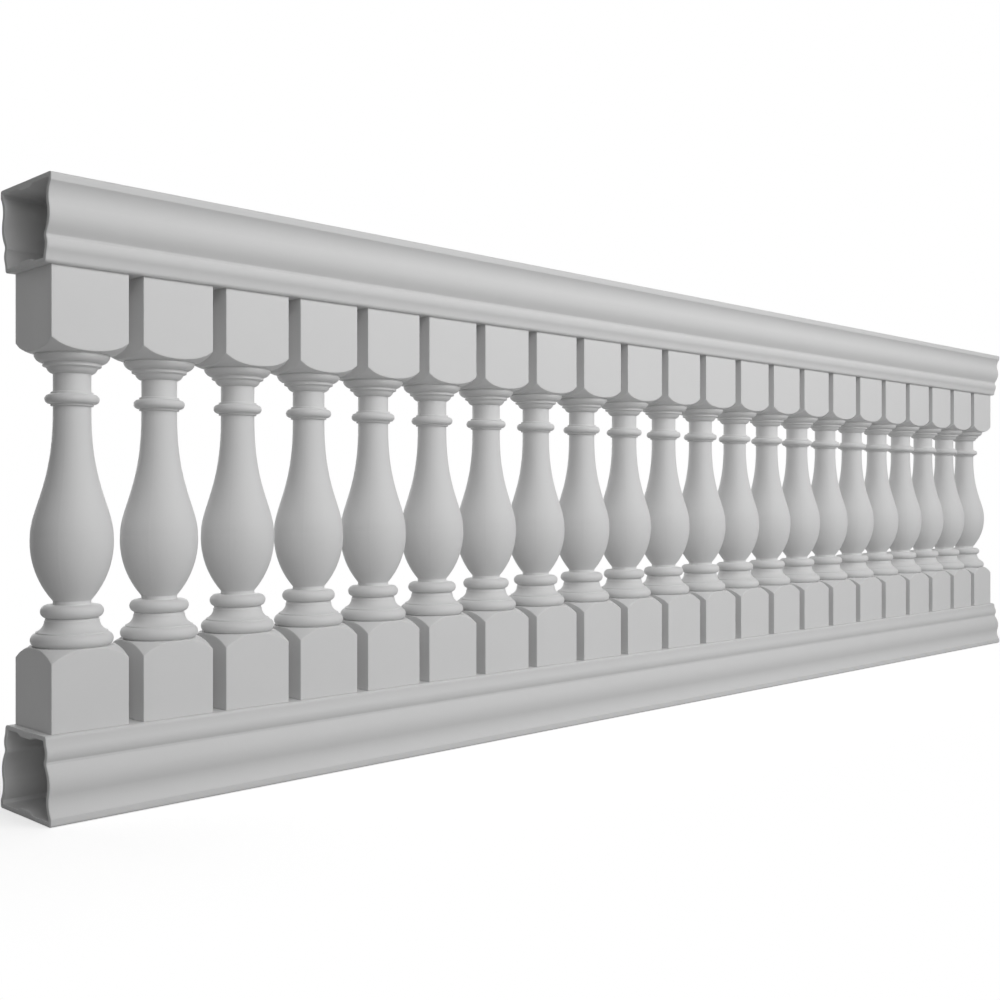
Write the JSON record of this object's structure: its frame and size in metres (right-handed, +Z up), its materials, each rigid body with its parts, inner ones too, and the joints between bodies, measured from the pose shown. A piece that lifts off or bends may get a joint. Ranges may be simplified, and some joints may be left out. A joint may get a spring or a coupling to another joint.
{
  "type": "fibreglass balustrade section",
  "caption": "Straight balustrade section: turned balusters with square end blocks between two hollow moulded rails.",
  "frame": {"origin": "middle of the underside of the bottom rail, on the floor, at half the length and half the width", "axes": "+Z up, X along the row of balusters, Y across the rails"},
  "size_m": [3.3528, 0.1778, 0.9779],
  "materials": {
    "rail_gelcoat": "white-primed fibreglass, satin matte, moulded smooth",
    "baluster_gelcoat": "white-primed fibreglass, satin matte, moulded smooth"
  },
  "bodies": {
    "root": {"bottom_rail": "rail_gelcoat", "baluster_01": "baluster_gelcoat", "baluster_02": "baluster_gelcoat", "baluster_03": "baluster_gelcoat", "baluster_04": "baluster_gelcoat", "baluster_05": "baluster_gelcoat", "baluster_06": "baluster_gelcoat", "baluster_07": "baluster_gelcoat", "baluster_08": "baluster_gelcoat", "baluster_09": "baluster_gelcoat", "baluster_10": "baluster_gelcoat", "baluster_11": "baluster_gelcoat", "baluster_12": "baluster_gelcoat", "baluster_13": "baluster_gelcoat", "baluster_14": "baluster_gelcoat", "baluster_15": "baluster_gelcoat", "baluster_16": "baluster_gelcoat", "baluster_17": "baluster_gelcoat", "baluster_18": "baluster_gelcoat", "baluster_19": "baluster_gelcoat", "baluster_20": "baluster_gelcoat", "baluster_21": "baluster_gelcoat", "baluster_22": "baluster_gelcoat", "top_rail": "rail_gelcoat"}
  },
  "joints": []
}
